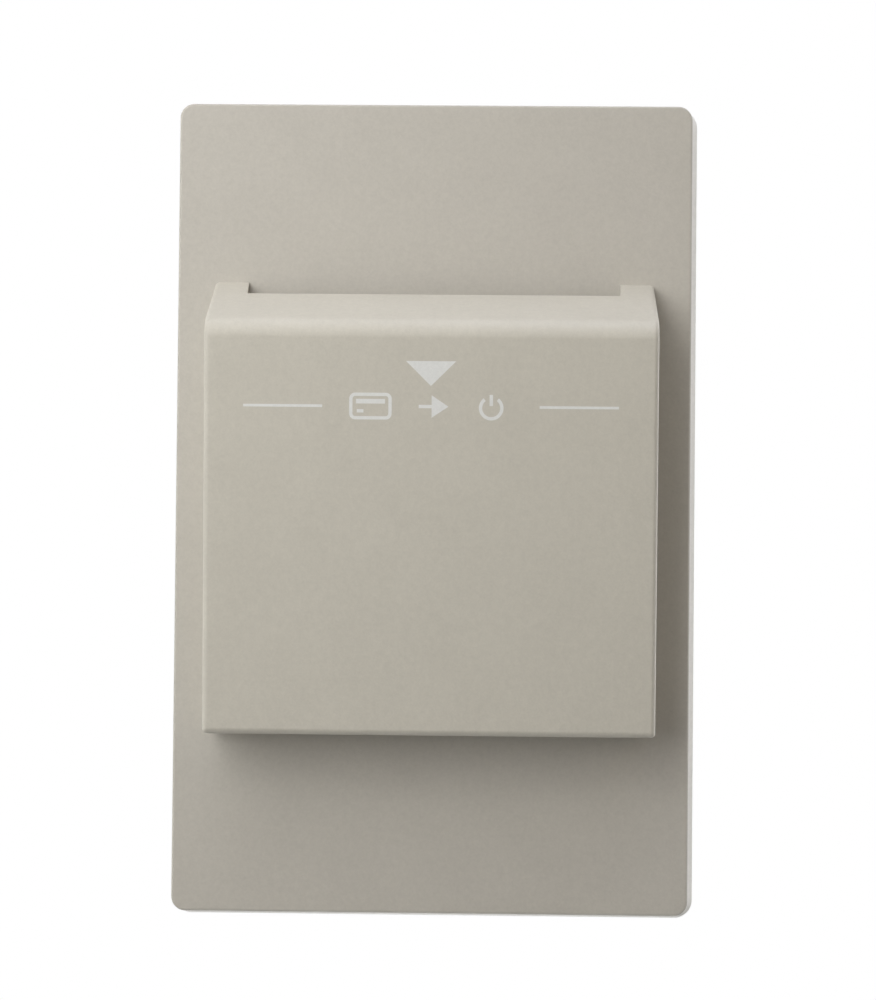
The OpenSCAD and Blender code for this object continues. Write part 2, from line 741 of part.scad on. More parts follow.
module line_terminal() terminal([1, 1], brass);
module load_terminal() terminal([1, -1], brass);
module neutral_terminal() terminal([-1, -1], zinc);

// A binding screw that lies along X, with its head's seat at the origin and its shank to the left.
module binding_screw(shank_l) {
    head_l = 2.2;
    rotate([0, 0, 90]) screw(0, 0, -head_l, binding_head_d / 2, head_l, binding_d / 2, shank_l);
}

module terminal_screws() {
    color(brass) for (place = [[1, 1], [1, -1], [-1, -1]]) at_terminal(place)
        translate([well_floor_x, well_mid_in, 0]) binding_screw(terminal_t + 1.4);
}

module ground_screw() {
    color("seagreen") translate([-strap_end_w / 2, ground_in, ground_z]) mirror([1, 0, 0])
        binding_screw(strap_t + 3);
}

module housing_screws() {
    color(zinc) for (sx = [-1, 1], sz = [-1, 1]) mirror([0, 1, 0])
        screw(sx * clamp_pitch_x / 2, sz * clamp_pitch_z / 2, clamp_well - body_depth - clamp_head_l,
            clamp_head_r, clamp_head_l, clamp_d / 2, strap_t);
}

// Side outline of the lever's hub, arm, presser and foot, about the pin.
module lever_outline() {
    circle(hub_r);
    translate([-arm_t / 2, foot_top - foot_rise]) square([arm_t, -foot_top + foot_rise]);
    translate([presser_r - presser_reach, -plunger_drop]) {
        circle(presser_r);
        translate([0, -presser_r]) square([presser_reach, 2 * presser_r]);
    }
    translate([0, foot_top - foot_rise]) square([pivot_back - touch_gap, foot_rise]);
}

module card_lever() {
    color(ivory) translate([0, -pivot_out, pivot_z]) difference() {
        union() {
            side_slab(-lever_w / 2, lever_w / 2) {
                lever_outline();
                translate([0, nose_sole[1]]) square([nose_back + 1, ramp_top[1] - nose_sole[1]]);
            }
            side_slab(-nose_w / 2, nose_w / 2)
                round_outline([ramp_top, nose_tip, nose_heel, nose_sole], [0, 0.9, 0.6, 0]);
        }
        translate([-lever_w, 0, 0]) rotate([0, 90, 0]) cylinder(r = pin_d / 2 + pin_fit, h = 2 * lever_w);
    }
}

module lever_pin() {
    length = ear_gap + 2 * ear_t + 1.6;
    color(zinc) translate([-length / 2, -pivot_out, pivot_z]) rotate([0, 90, 0]) {
        cylinder(r = pin_d / 2, h = length - 0.4);
        translate([0, 0, length - 0.4]) cylinder(r1 = pin_d / 2, r2 = pin_d / 2 - 0.3, h = 0.4);
    }
}

// Mean radius of the spring: its wire runs close behind the wings of the nose.
function spring_r() = arm_t / 2 - wire_d / 2 - touch_gap / 2;

// Torsion spring on the pin: a leg behind the nose, the turns, and a leg under the stop.
module lever_spring() {
    sides = 6;
    steps = 16;
    left = lever_w / 2 + 0.65 + wire_d / 2;
    last = 360 * spring_turns + 90;
    leg_down = -ramp_top[1] + 3.5;
    leg_back = hub_r - 0.8;
    r = spring_r();
    // Each ring: its middle as [across, out, height] and the direction away from the pin as an angle.
    rings = concat(
        [[[left, r, -leg_down], 0]],
        [for (a = [0:360 / steps:last])
            [[left + spring_pitch * a / 360, r * cos(a), r * sin(a)], a]],
        [[[left + spring_pitch * last / 360, -leg_back, r], 90]]);
    // Gap between the wire and itself, measured between rings that are at least half a turn apart.
    echo(spring_gap = min([for (i = [0:len(rings) - 1], j = [i + steps / 2:1:len(rings) - 1])
        norm(rings[i][0] - rings[j][0])]) - wire_d);
    points = [for (ring = rings, k = [0:sides - 1])
        let (turn = 360 * k / sides, away = wire_d / 2 * cos(turn), a = ring[1])
        [ring[0][0] + wire_d / 2 * sin(turn), -ring[0][1] - away * cos(a), ring[0][2] + away * sin(a)]];
    count = len(rings);
    skin = [for (i = [0:count - 2], k = [0:sides - 1])
        let (here = i * sides + k, next = i * sides + (k + 1) % sides)
        each [[here, here + sides, next + sides], [here, next + sides, next]]];
    ends = [for (k = [1:sides - 2])
        each [[0, k, k + 1], [(count - 1) * sides, (count - 1) * sides + k + 1, (count - 1) * sides + k]]];
    color(zinc) translate([0, -pivot_out, pivot_z]) polyhedron(points, concat(skin, ends));
}

module switch_case() {
    color(black) difference() {
        slab(-board_in, -case_front_in) translate([0, case_z]) round_rect(case_w, case_h, 0.6);
        rod(0, plunger_z, case_front_in - 1, case_front_in + 1.35 * plunger_deep, plunger_d / 2 + pin_fit);
        for (sz = [-1, 1]) translate([0, board_in - case_hole_up, case_z + sz * case_hole_pitch / 2])
            rotate([0, 90, 0]) cylinder(r = case_hole_r, h = case_w + 2, center = true);
    }
}

module switch_plunger() {
    color("firebrick") {
        rod(0, plunger_z, plunger_tip_in + 0.4, case_front_in + plunger_deep, plunger_d / 2);
        translate([0, plunger_tip_in, plunger_z]) rotate([-90, 0, 0])
            cylinder(r1 = plunger_d / 2 - 0.4, r2 = plunger_d / 2, h = 0.4);
    }
}

module switch_terminals() {
    color(brass) for (k = [-1:1]) translate([0, board_in, case_z + pin_pitch * k])
        translate([-pin_t / 2, 0, -pin_w / 2]) cube([pin_t, board_t + pin_show, pin_w]);
}

module circuit_board() {
    color("darkgreen") slab(-board_back_in, -board_in) difference() {
        round_rect(board_w, board_h, 1);
        for (sx = [-1, 1], sz = [-1, 1]) translate([sx * board_post_x, sz * board_pitch / 2])
            circle(board_screw_r + shell_fit);
        for (k = [-1:1]) translate([0, case_z + pin_pitch * k])
            square([pin_t + shell_fit, pin_w + shell_fit], center = true);
    }
}

module board_screws() {
    color(zinc) for (sx = [-1, 1], sz = [-1, 1]) mirror([0, 1, 0])
        screw(sx * board_post_x, sz * board_pitch / 2, -board_back_in - board_head_l, board_head_r,
            board_head_l, board_screw_r, -board_in + board_screw_l);
}

// A boxed component on the back of the board, or on its front.
module boxed(size, x, z, behind) {
    level = behind ? [-board_back_in - size[2], -board_back_in] : [-board_in, -board_in + size[2]];
    slab(level[0], level[1]) translate([x, z]) round_rect(size[0], size[1], 0.5);
}

module relay() {
    color([0.16, 0.22, 0.36])
        boxed([relay_w, relay_h, relay_d], 0, case_z - pin_pitch - part_gap - relay_h / 2, true);
}

module film_capacitor() {
    color([0.72, 0.58, 0.16])
        boxed([film_w, film_h, film_d], -part_gap - film_w / 2, case_z + part_gap + film_h / 2, true);
}

module smoothing_capacitor() {
    r = smooth_d / 2;
    color([0.12, 0.16, 0.24]) translate([part_gap + r, board_back_in, case_z + r]) rotate([-90, 0, 0])
        rotate_extrude() polygon([[0, 0], [r, 0], [r, 1.2], [r - 0.4, 1.7], [r, 2.2], [r, smooth_l - 0.5],
            [r - 0.5, smooth_l], [0, smooth_l]]);
}

module varistor() {
    lead = 1.2;
    z = case_z + smooth_d + part_gap + varistor_t / 2;
    color([0.15, 0.36, 0.55]) translate([part_gap + varistor_d / 2, board_back_in, z]) {
        translate([0, lead + varistor_d / 2, 0]) cylinder(d = varistor_d, h = varistor_t, center = true);
        for (sx = [-1, 1]) rotate([-90, 0, 0]) translate([sx * varistor_d / 4, 0, 0])
            cylinder(r = 0.4, h = lead + varistor_d / 4);
    }
}

module bridge_rectifier() {
    color(black) boxed([rectifier_w, rectifier_h, rectifier_d], -part_gap - rectifier_w / 2,
        case_top + part_gap + rectifier_h / 2, false);
}

module control_chip() {
    color(black) boxed([chip_w, chip_h, chip_d], part_gap + chip_w / 2,
        case_top + part_gap + chip_h / 2, false);
}

module fuse_resistor() {
    z = case_z - case_h / 2 - part_gap - resistor_d / 2;
    color([0.62, 0.70, 0.60]) translate([0, board_in - resistor_d / 2, z]) rotate([0, 90, 0])
        cylinder(d = resistor_d, h = resistor_l, center = true);
}

face_plate();
card_pocket();
pocket_screws();
back_plate();
back_plate_screws();
mounting_strap();
housing_front();
housing_rear();
housing_screws();
card_lever();
lever_pin();
lever_spring();
switch_case();
switch_plunger();
switch_terminals();
circuit_board();
board_screws();
relay();
film_capacitor();
smoothing_capacitor();
varistor();
bridge_rectifier();
control_chip();
fuse_resistor();
line_terminal();
load_terminal();
neutral_terminal();
terminal_screws();
ground_screw();
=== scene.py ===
"""Hotel key card switch on its wall plate: finishes, turned screws, wound spring, print and studio.

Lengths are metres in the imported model's frame: X to the right, Y into the wall, Z up.
"""
from collections import namedtuple
import json
import math

import bmesh
import bpy
from mathutils import Matrix, Vector


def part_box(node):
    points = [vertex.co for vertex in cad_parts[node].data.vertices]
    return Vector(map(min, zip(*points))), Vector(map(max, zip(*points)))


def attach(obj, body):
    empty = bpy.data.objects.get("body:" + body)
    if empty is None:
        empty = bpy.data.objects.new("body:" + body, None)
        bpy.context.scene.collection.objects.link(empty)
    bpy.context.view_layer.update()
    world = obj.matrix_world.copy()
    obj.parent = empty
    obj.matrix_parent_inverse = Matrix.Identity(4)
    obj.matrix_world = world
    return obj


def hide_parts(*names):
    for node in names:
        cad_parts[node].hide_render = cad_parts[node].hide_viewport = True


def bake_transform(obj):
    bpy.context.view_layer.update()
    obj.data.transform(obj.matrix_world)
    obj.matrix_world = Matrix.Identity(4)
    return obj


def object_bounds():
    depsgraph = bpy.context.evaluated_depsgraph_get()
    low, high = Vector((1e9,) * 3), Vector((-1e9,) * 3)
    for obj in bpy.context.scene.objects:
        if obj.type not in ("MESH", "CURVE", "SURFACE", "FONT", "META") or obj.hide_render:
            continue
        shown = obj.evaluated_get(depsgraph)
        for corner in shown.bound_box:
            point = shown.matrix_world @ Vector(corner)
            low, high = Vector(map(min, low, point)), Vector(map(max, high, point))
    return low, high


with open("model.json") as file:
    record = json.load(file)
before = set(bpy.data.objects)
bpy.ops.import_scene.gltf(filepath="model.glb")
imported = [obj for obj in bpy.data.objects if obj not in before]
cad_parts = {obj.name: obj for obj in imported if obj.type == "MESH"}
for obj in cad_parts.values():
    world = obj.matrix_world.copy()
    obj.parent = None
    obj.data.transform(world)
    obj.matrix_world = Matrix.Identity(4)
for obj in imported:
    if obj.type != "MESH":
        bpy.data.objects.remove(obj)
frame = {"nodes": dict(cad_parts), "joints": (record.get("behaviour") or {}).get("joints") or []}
cad_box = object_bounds()
nodes = frame["nodes"]

MM = 0.001
IMAGE_W = 876
IMAGE_H = 1000


def srgb(red, green, blue):
    """Linear colour of a colour written from 0 to 255."""
    def linear(value):
        value /= 255
        return value / 12.92 if value <= 0.04045 else ((value + 0.055) / 1.055) ** 2.4
    return (linear(red), linear(green), linear(blue), 1)


def set_range(node, taken, given):
    """Sets the stretch of values that a map range node takes, and the one that it gives."""
    for name, value in zip(("From Min", "From Max", "To Min", "To Max"), (*taken, *given)):
        node.inputs[name].default_value = value


# Materials

EVEN = (1, 1, 1)
NOISE_SPAN = (0.3, 0.7)


class Shading:
    """A node material with its Principled shader and a few short ways to add detail to it."""

    def __init__(self, name, colour, roughness, metallic=0.0):
        self.material = bpy.data.materials.new(name)
        self.material.use_nodes = True
        self.tree = self.material.node_tree
        self.shader = self.tree.nodes["Principled BSDF"]
        self.set(self.shader, "Base Color", colour)
        self.set(self.shader, "Roughness", roughness)
        self.set(self.shader, "Metallic", metallic)
        self.place = self.add("ShaderNodeTexCoord").outputs["Object"]
        self.colour = colour
        self.roughness = roughness

    def add(self, kind, **inputs):
        """Adds a node and sets its inputs, whose names have _ for a space."""
        node = self.tree.nodes.new(kind)
        for name, value in inputs.items():
            self.set(node, name.replace("_", " "), value)
        return node

    def set(self, node, name, value):
        """Links an input to a socket, or gives it a plain value."""
        if isinstance(value, bpy.types.NodeSocket):
            self.tree.links.new(value, node.inputs[name])
        else:
            node.inputs[name].default_value = value

    def noise(self, size, detail=2.0, stretch=EVEN):
        """Noise whose spots are about the given size, drawn out along the stretched axes."""
        place = self.place
        if stretch != EVEN:
            mapping = self.add("ShaderNodeMapping", Vector=place)
            mapping.inputs["Scale"].default_value = [1 / s for s in stretch]
            place = mapping.outputs["Vector"]
        return self.add("ShaderNodeTexNoise", Vector=place, Scale=1 / size, Detail=detail).outputs["Fac"]

    def spread(self, factor, low, high):
        """Spreads a noise over a range of values."""
        node = self.add("ShaderNodeMapRange", Value=factor)
        set_range(node, NOISE_SPAN, (low, high))
        return node.outputs["Result"]

    def mottle(self, *layers):
        """Lets the colour wander, each layer given as the size of its spots and a share of the colour."""
        total = 1.0
        for size, share in layers:
            wander = self.add("ShaderNodeMath")
            self.tree.links.new(self.spread(self.noise(size), -share, share), wander.inputs[0])
            if isinstance(total, bpy.types.NodeSocket):
                self.tree.links.new(total, wander.inputs[1])
            else:
                wander.inputs[1].default_value = total
            total = wander.outputs[0]
        tint = self.add("ShaderNodeVectorMath")
        tint.operation = "SCALE"
        tint.inputs[0].default_value = self.colour[:3]
        self.set(tint, "Scale", total)
        self.set(self.shader, "Base Color", tint.outputs["Vector"])

    def sheen_spots(self, size, share, stretch=EVEN):
        """Lets the roughness wander by a share of itself."""
        spots = self.noise(size, detail=3, stretch=stretch)
        wander = self.spread(spots, self.roughness * (1 - share), self.roughness * (1 + share))
        self.set(self.shader, "Roughness", wander)

    def bump(self, *layers):
        """Adds bumps, each as a size, a height and a stretch."""
        normal = None
        for size, height, stretch in layers:
            node = self.add("ShaderNodeBump", Height=self.noise(size, stretch=stretch))
            node.inputs["Distance"].default_value = height
            node.inputs["Strength"].default_value = 1
            if normal is not None:
                self.set(node, "Normal", normal)
            normal = node.outputs["Normal"]
        self.set(self.shader, "Normal", normal)


# Moulded plastic: sizes of its spots with the share by which they differ; coarse spots and waves are
# multiples of the grain's own size and height
CLOUDS = (8 * MM, 0.015)
COARSE_SIZE = 3
COARSE_SHARE = 0.024
GRAIN_SHARE = 0.026
DULL_SPOTS = (2.5 * MM, 0.06)
WAVE_SIZE = 5
WAVE_HEIGHT = 1.6

# Rolled metal: spots as above, and bumps as a size and a height
STAINS = (6 * MM, 0.06)
ROLLED_SPOTS = (1.5 * MM, 0.25)
ROLLED_LINES = (0.25 * MM, 0.003 * MM)
ROLLED_WAVES = (3 * MM, 0.01 * MM)


def moulded(name, colour, roughness, grain, height):
    """Moulded plastic with a fine spark-eroded grain."""
    look = Shading(name, colour, roughness)
    look.mottle(CLOUDS, (COARSE_SIZE * grain, COARSE_SHARE), (grain, GRAIN_SHARE))
    look.sheen_spots(*DULL_SPOTS)
    look.bump((grain, height, EVEN), (WAVE_SIZE * grain, WAVE_HEIGHT * height, EVEN))
    return look.material


def plated(name, colour, roughness, stretch):
    """Rolled and plated metal with fine lines along one axis."""
    look = Shading(name, colour, roughness, metallic=1.0)
    look.mottle(STAINS)
    look.sheen_spots(*ROLLED_SPOTS, stretch)
    look.bump((*ROLLED_LINES, stretch), (*ROLLED_WAVES, EVEN))
    return look.material


# Each has its name, colour and roughness, then the size and height of its grain or the stretch of its lines
greige_plate = moulded("greige_plate", srgb(186, 181, 170.5), 0.52, 0.32 * MM, 0.016 * MM)
# The pocket's greige is the plate's greige painted lighter: painted light on the pocket's front, which the
# lamps leave too dark beside the plate
greige_pocket_painted_light = moulded("greige_pocket_painted_light", srgb(194, 189, 176), 0.52, 0.32 * MM, 0.016 * MM)
pale_plastic = moulded("pale_plastic", srgb(244, 243, 237), 0.45, 0.4 * MM, 0.004 * MM)
ivory_plastic = moulded("ivory_plastic", srgb(226, 220, 205), 0.35, 0.5 * MM, 0.003 * MM)
black_plastic = moulded("black_plastic", srgb(38, 38, 40), 0.5, 0.35 * MM, 0.012 * MM)
zinc_steel = plated("zinc_steel", srgb(170, 173, 178), 0.36, (1, 1, 18))
brass = plated("brass", srgb(184, 147, 78), 0.34, (1, 14, 1))
green_steel = plated("green_steel", srgb(52, 128, 72), 0.34, EVEN)
board_green = moulded("board_green", srgb(22, 92, 52), 0.3, 0.6 * MM, 0.006 * MM)
relay_blue = moulded("relay_blue", srgb(34, 62, 128), 0.3, 0.6 * MM, 0.003 * MM)
capacitor_yellow = moulded("capacitor_yellow", srgb(206, 164, 48), 0.32, 0.6 * MM, 0.004 * MM)
capacitor_sleeve = moulded("capacitor_sleeve", srgb(28, 36, 62), 0.25, 0.8 * MM, 0.002 * MM)
varistor_blue = moulded("varistor_blue", srgb(38, 92, 150), 0.4, 0.5 * MM, 0.01 * MM)
resistor_coat = moulded("resistor_coat", srgb(142, 160, 138), 0.6, 0.3 * MM, 0.01 * MM)
plunger_red = moulded("plunger_red", srgb(150, 34, 28), 0.35, 0.5 * MM, 0.003 * MM)
ink = moulded("pale_ink", srgb(221, 221, 217), 0.6, 0.2 * MM, 0.003 * MM)

FINISHES = {
    greige_plate: ["face_plate"],
    greige_pocket_painted_light: ["card_pocket"],
    pale_plastic: ["back_plate"],
    ivory_plastic: ["card_lever"],
    black_plastic: ["housing_front", "housing_rear", "switch_case", "bridge_rectifier", "control_chip"],
    zinc_steel: ["mounting_strap", "pocket_screws", "back_plate_screws", "housing_screws", "board_screws",
                 "lever_pin", "lever_spring", "neutral_terminal"],
    brass: ["line_terminal", "load_terminal", "terminal_screws", "switch_terminals"],
    green_steel: ["ground_screw"],
    board_green: ["circuit_board"],
    relay_blue: ["relay"],
    capacitor_yellow: ["film_capacitor"],
    capacitor_sleeve: ["smoothing_capacitor"],
    varistor_blue: ["varistor"],
    resistor_coat: ["fuse_resistor"],
    plunger_red: ["switch_plunger"],
}
for material, names in FINISHES.items():
    for name in names:
        nodes[name].data.materials.clear()
        nodes[name].data.materials.append(material)


# Smooth shading of the rounds on the carried-over nodes

SMOOTH_UP_TO = math.radians(20)
MERGE_WITHIN = 0.001 * MM
LARGE_FACES_FIRST = 100


def smooth_rounds():
    """Geometry nodes that join split corners and shade smooth all but the sharp edges."""
    group = bpy.data.node_groups.new("smooth_rounds", "GeometryNodeTree")
    group.interface.new_socket("Geometry", in_out="INPUT", socket_type="NodeSocketGeometry")
    group.interface.new_socket("Geometry", in_out="OUTPUT", socket_type="NodeSocketGeometry")
    merge = group.nodes.new("GeometryNodeMergeByDistance")
    merge.inputs["Distance"].default_value = MERGE_WITHIN
    faces = group.nodes.new("GeometryNodeSetShadeSmooth")
    edges = group.nodes.new("GeometryNodeSetShadeSmooth")
    edges.domain = "EDGE"
    edges.inputs["Shade Smooth"].default_value = False
    angle = group.nodes.new("GeometryNodeInputMeshEdgeAngle")
    sharp = group.nodes.new("FunctionNodeCompare")
    sharp.inputs["B"].default_value = SMOOTH_UP_TO
    group.links.new(angle.outputs["Unsigned Angle"], sharp.inputs["A"])
    group.links.new(sharp.outputs["Result"], edges.inputs["Selection"])
    last = group.nodes.new("NodeGroupInput").outputs[0]
    for step in (merge, faces, edges):
        group.links.new(last, step.inputs["Geometry"])
        last = step.outputs["Geometry"]
    group.links.new(last, group.nodes.new("NodeGroupOutput").inputs[0])
    return group


rounds = smooth_rounds()
for node in nodes.values():
    node.modifiers.new("smooth_rounds", "NODES").node_group = rounds
    weighted = node.modifiers.new("weighted_normals", "WEIGHTED_NORMAL")
    weighted.keep_sharp = True
    weighted.weight = LARGE_FACES_FIRST


# Turned and wound pieces that stand for plain nodes

def skin(mesh, rings):
    """Joins rings of points into one closed tube."""
    loops = [[mesh.verts.new(point) for point in ring] for ring in rings]
    for near, far in zip(loops, loops[1:]):
        for k in range(len(near)):
            mesh.faces.new((near[k - 1], near[k], far[k], far[k - 1]))
    mesh.faces.new(loops[0])
    mesh.faces.new(loops[-1])
    bmesh.ops.recalc_face_normals(mesh, faces=mesh.faces)


def stand_in(name, mesh, node):
    """An object made of a bmesh that is shown in place of a node, with that node's finish."""
    data = bpy.data.meshes.new(name)
    mesh.to_mesh(data)
    mesh.free()
    data.materials.append(nodes[node].data.materials[0])
    piece = bpy.data.objects.new(name, data)
    bpy.context.scene.collection.objects.link(piece)
    piece.modifiers.new("smooth_rounds", "NODES").node_group = rounds
    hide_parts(node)
    return piece


# Screws: sizes in millimetres, and outlines as shares of the head's length and radius
Screw = namedtuple("Screw", "head recess head_r head_l shank_r pitch thread")
PAN = [(0, 0.5), (0.06, 0.72), (0.18, 0.88), (0.38, 0.97), (0.6, 1), (1, 1)]
COUNTERSUNK = [(0, 0.97), (0.06, 1)]
CROSS = [(0.62, -0.15), (0.62, 0.15), (0.15, 0.15)]
SLOT = [(1.2, -0.15), (1.2, 0.15)]
POCKET_SCREW = Screw(PAN, CROSS, 2.1, 1.4, 1.0, 0.8, 6.0)
BOARD_SCREW = Screw(PAN, CROSS, 2.0, 1.2, 1.1, 0.8, 5.5)
HOUSING_SCREW = Screw(PAN, CROSS, 2.1, 1.9, 1.25, 0.6, 8.0)
PLATE_SCREW = Screw(COUNTERSUNK, SLOT, 2.6, 1.28, 1.7, 0.79, 8.5)
BINDING_SCREW = Screw(PAN, CROSS, 3.6, 2.2, 1.9, 0.79, 2.3)
GROUND_SCREW = Screw(PAN, CROSS, 3.6, 2.2, 1.9, 0.79, 4.1)
BINDING_L = 4.6
SCREW_SIDES = 24
RINGS_PER_PITCH = 8
THREAD_SHARE = 0.5
POINT_SHARE = 0.7
RECESS_SHARE = 0.55
RECESS_DRAFT = 0.65
TURN_TO = {"+Y": 0, "-Y": 180, "+X": -90, "-X": 90}
ROOM_FOR_TWO = 3  # head radii from which a stretch holds two heads


def screw_rings(kind, length):
    """Rings of a screw that points along +Y, from the top of its head to its tip."""
    turns = [math.tau * k / SCREW_SIDES for k in range(SCREW_SIDES)]

    def ring(along, *radii):
        radii = radii * SCREW_SIDES if len(radii) == 1 else radii
        return [(r * math.cos(a), along, r * math.sin(a)) for a, r in zip(turns, radii)]

    start = length - kind.thread
    end = length - (1 - POINT_SHARE) * kind.shank_r
    rings = [ring(at * kind.head_l, share * kind.head_r) for at, share in kind.head]
    rings += [ring(kind.head_l, kind.shank_r), ring(start, kind.shank_r)]
    count = round((end - start) / kind.pitch * RINGS_PER_PITCH)
    for k in range(1, count):
        along = start + (end - start) * k / count
        depth = THREAD_SHARE * kind.pitch * min(1, k / RINGS_PER_PITCH, (count - k) / RINGS_PER_PITCH)
        waves = [abs(2 * ((along / kind.pitch - a / math.tau) % 1) - 1) for a in turns]
        rings.append(ring(along, *(kind.shank_r - depth * (1 - wave) for wave in waves)))
    return rings + [ring(end, kind.shank_r), ring(length, POINT_SHARE * kind.shank_r)]


def recess_rings(kind):
    """Rings of the tool that cuts a screw's recess: its arms are the first one turned about the screw."""
    arm = kind.recess
    quarters = 2 if len(arm) == 2 else 4
    outline = []
    for k in range(quarters):
        turn = math.tau * k / quarters
        outline += [(x * math.cos(turn) - z * math.sin(turn), x * math.sin(turn) + z * math.cos(turn))
                    for x, z in arm]
    deep = RECESS_SHARE * kind.head_l
    return [[(share * kind.head_r * x, along, share * kind.head_r * z) for x, z in outline]
            for share, along in ((1, -deep), (1, 0), (RECESS_DRAFT, deep))]


def closed_form(name, rings):
    """A linked object of one closed tube."""
    mesh = bmesh.new()
    skin(mesh, rings)
    form = bpy.data.objects.new(name, bpy.data.meshes.new(name))
    mesh.to_mesh(form.data)
    mesh.free()
    bpy.context.scene.collection.objects.link(form)
    return form


def screw_mesh(kind, length):
    """Mesh of one screw in millimetres."""
    body = closed_form("screw_body", screw_rings(kind, length))
    tool = closed_form("screw_recess", recess_rings(kind))
    body.modifiers.new("recess", "BOOLEAN").object = tool
    bpy.context.view_layer.update()
    cut = bpy.data.meshes.new_from_object(body.evaluated_get(bpy.context.evaluated_depsgraph_get()))
    for form in (body, tool):
        bpy.data.objects.remove(form)
    return cut


def turn_screws(node, kind, length, places):
    """Shows turned screws in place of a node, each at the top of its head and with its way to the tip."""
    one = screw_mesh(kind, length / MM)
    mesh = bmesh.new()
    for top, way in places:
        known = len(mesh.verts)
        mesh.from_mesh(one)
        mesh.verts.ensure_lookup_table()
        turn = Matrix.Rotation(math.radians(TURN_TO[way]), 4, "Z")
        bmesh.ops.transform(mesh, matrix=Matrix.Translation(top) @ turn @ Matrix.Scale(MM, 4),
                            verts=mesh.verts[known:])
    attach(stand_in(node + "_turned", mesh, node), "device")


def middles(low, high, half):
    """Middles of the two heads at the ends of a stretch, or of the one head that fills it."""
    return [low + half, high - half] if high - low > ROOM_FOR_TWO * half else [(low + high) / 2]


def turn_group(node, kind, way):
    """Turns the screws that stand at the corners of a node's box."""
    low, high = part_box(node)
    half = kind.head_r * MM
    head_at = high[1] if way == "-Y" else low[1]
    turn_screws(node, kind, high[1] - low[1],
                [(Vector((x, head_at, z)), way)
                 for x in middles(low[0], high[0], half) for z in middles(low[2], high[2], half)])


def turn_binding_screws():
    """Turns one screw at each terminal, driven in from the side that the terminal is on."""
    low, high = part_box("terminal_screws")
    places = []
    for terminal in ("line_terminal", "load_terminal", "neutral_terminal"):
        first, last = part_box(terminal)
        head_x, way = (high[0], "-X") if first[0] > 0 else (low[0], "+X")
        places.append((Vector((head_x, (low[1] + high[1]) / 2, (first[2] + last[2]) / 2)), way))
    turn_screws("terminal_screws", BINDING_SCREW, BINDING_L * MM, places)


def turn_ground_screw():
    """Turns the one screw that is driven through the strap's tab."""
    low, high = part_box("ground_screw")
    turn_screws("ground_screw", GROUND_SCREW, high[0] - low[0],
                [(Vector((low[0], (low[1] + high[1]) / 2, (low[2] + high[2]) / 2)), "+X")])


turn_group("pocket_screws", POCKET_SCREW, "-Y")
turn_group("board_screws", BOARD_SCREW, "-Y")
turn_group("housing_screws", HOUSING_SCREW, "-Y")
turn_group("back_plate_screws", PLATE_SCREW, "+Y")
turn_binding_screws()
turn_ground_screw()


# Return spring: it winds up between the ear that holds one leg and the lever that takes the other

WIRE_R = 0.25 * MM
WIRE_SIDES = 12
SPRING_TURNS = 4.25
RINGS_PER_TURN = 36


def wind_spring():
    """Winds the wire from the leg on the lever, round the pin, to the leg on the ear."""
    low, high = (Vector(corner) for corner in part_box("lever_spring"))
    pin = Vector(next(joint["pos_m"] for joint in frame["joints"] if joint["name"] == "lever_pivot"))
    at_lever, at_ear = low.x + WIRE_R, high.x - WIRE_R
    coil_r = high.z - pin.z - WIRE_R
    count = round(SPRING_TURNS * RINGS_PER_TURN)
    # Each stop along the wire is its middle and the direction away from the pin there.
    stops = [(Vector((at_lever, pin.y - coil_r, low.z)), Vector((0, -1, 0)))]
    for k in range(count + 1):
        turn = math.tau * SPRING_TURNS * k / count
        away = Vector((0, -math.cos(turn), math.sin(turn)))
        across = at_lever + (at_ear - at_lever) * k / count
        stops.append((Vector((across, pin.y, pin.z)) + coil_r * away, away))
    stops.append((Vector((at_ear, high.y, pin.z + coil_r)), Vector((0, 0, 1))))
    rings = []
    for k, (middle, away) in enumerate(stops):
        before, after = stops[max(k - 1, 0)][0], stops[min(k + 1, len(stops) - 1)][0]
        side = (after - before).cross(away).normalized()
        rings.append([middle + WIRE_R * (math.cos(a) * away + math.sin(a) * side)
                      for a in (math.tau * j / WIRE_SIDES for j in range(WIRE_SIDES))])
    mesh = bmesh.new()
    skin(mesh, rings)
    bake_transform(stand_in("return_spring", mesh, "lever_spring"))


wind_spring()


# Printed legend on the pocket's front, in the same lengths as the pocket

INK_PROUD = 0.02 * MM
INK_SUNK = 0.01 * MM
MARK_TOP = 21.4 * MM
MARK_W = 7.5 * MM
MARK_H = 3.7 * MM
ROW_Z = 14.65 * MM
ROW_W = 56 * MM
ROW_H = 4 * MM
STROKE = 0.5 * MM
STRIPE_H = 1.4 * STROKE
RULE_H = 0.8 * STROKE
SIGN_PITCH = 9 * MM
CORNER_STEPS = 8
RING_STEPS = 48

# Signs, as shares of the row's height, of the card's width, of the ring's radius or of the pitch
CARD_ASPECT = 1.586
CARD_CORNER = 0.1
STRIPE_OFF = 0.18
CHIP_OFF = 0.32
SHAFT_L = 0.9
ARROW_HEAD = 0.42
RING_R = 0.46
RING_DROP = 0.04
RING_GAP = 38  # degrees to each side of the top
BAR_UP = 0.62
BAR_L = 0.9
RULE_FROM = 1.8


def arc(middle, radius, start, end, steps):
    """Points round a middle from one angle to another, in degrees."""
    angles = [math.radians(start + (end - start) * k / steps) for k in range(steps + 1)]
    return [(middle[0] + radius * math.cos(a), middle[1] + radius * math.sin(a)) for a in angles]


def box_outline(middle, width, height, corner=0.0):
    """Outline of a box, with round corners where it has a corner radius."""
    half_w, half_h = width / 2 - corner, height / 2 - corner
    points = []
    for k, (sx, sz) in enumerate([(1, 1), (-1, 1), (-1, -1), (1, -1)]):
        centre = (middle[0] + sx * half_w, middle[1] + sz * half_h)
        points += arc(centre, corner, 90 * k, 90 * k + 90, CORNER_STEPS) if corner else [centre]
    return points


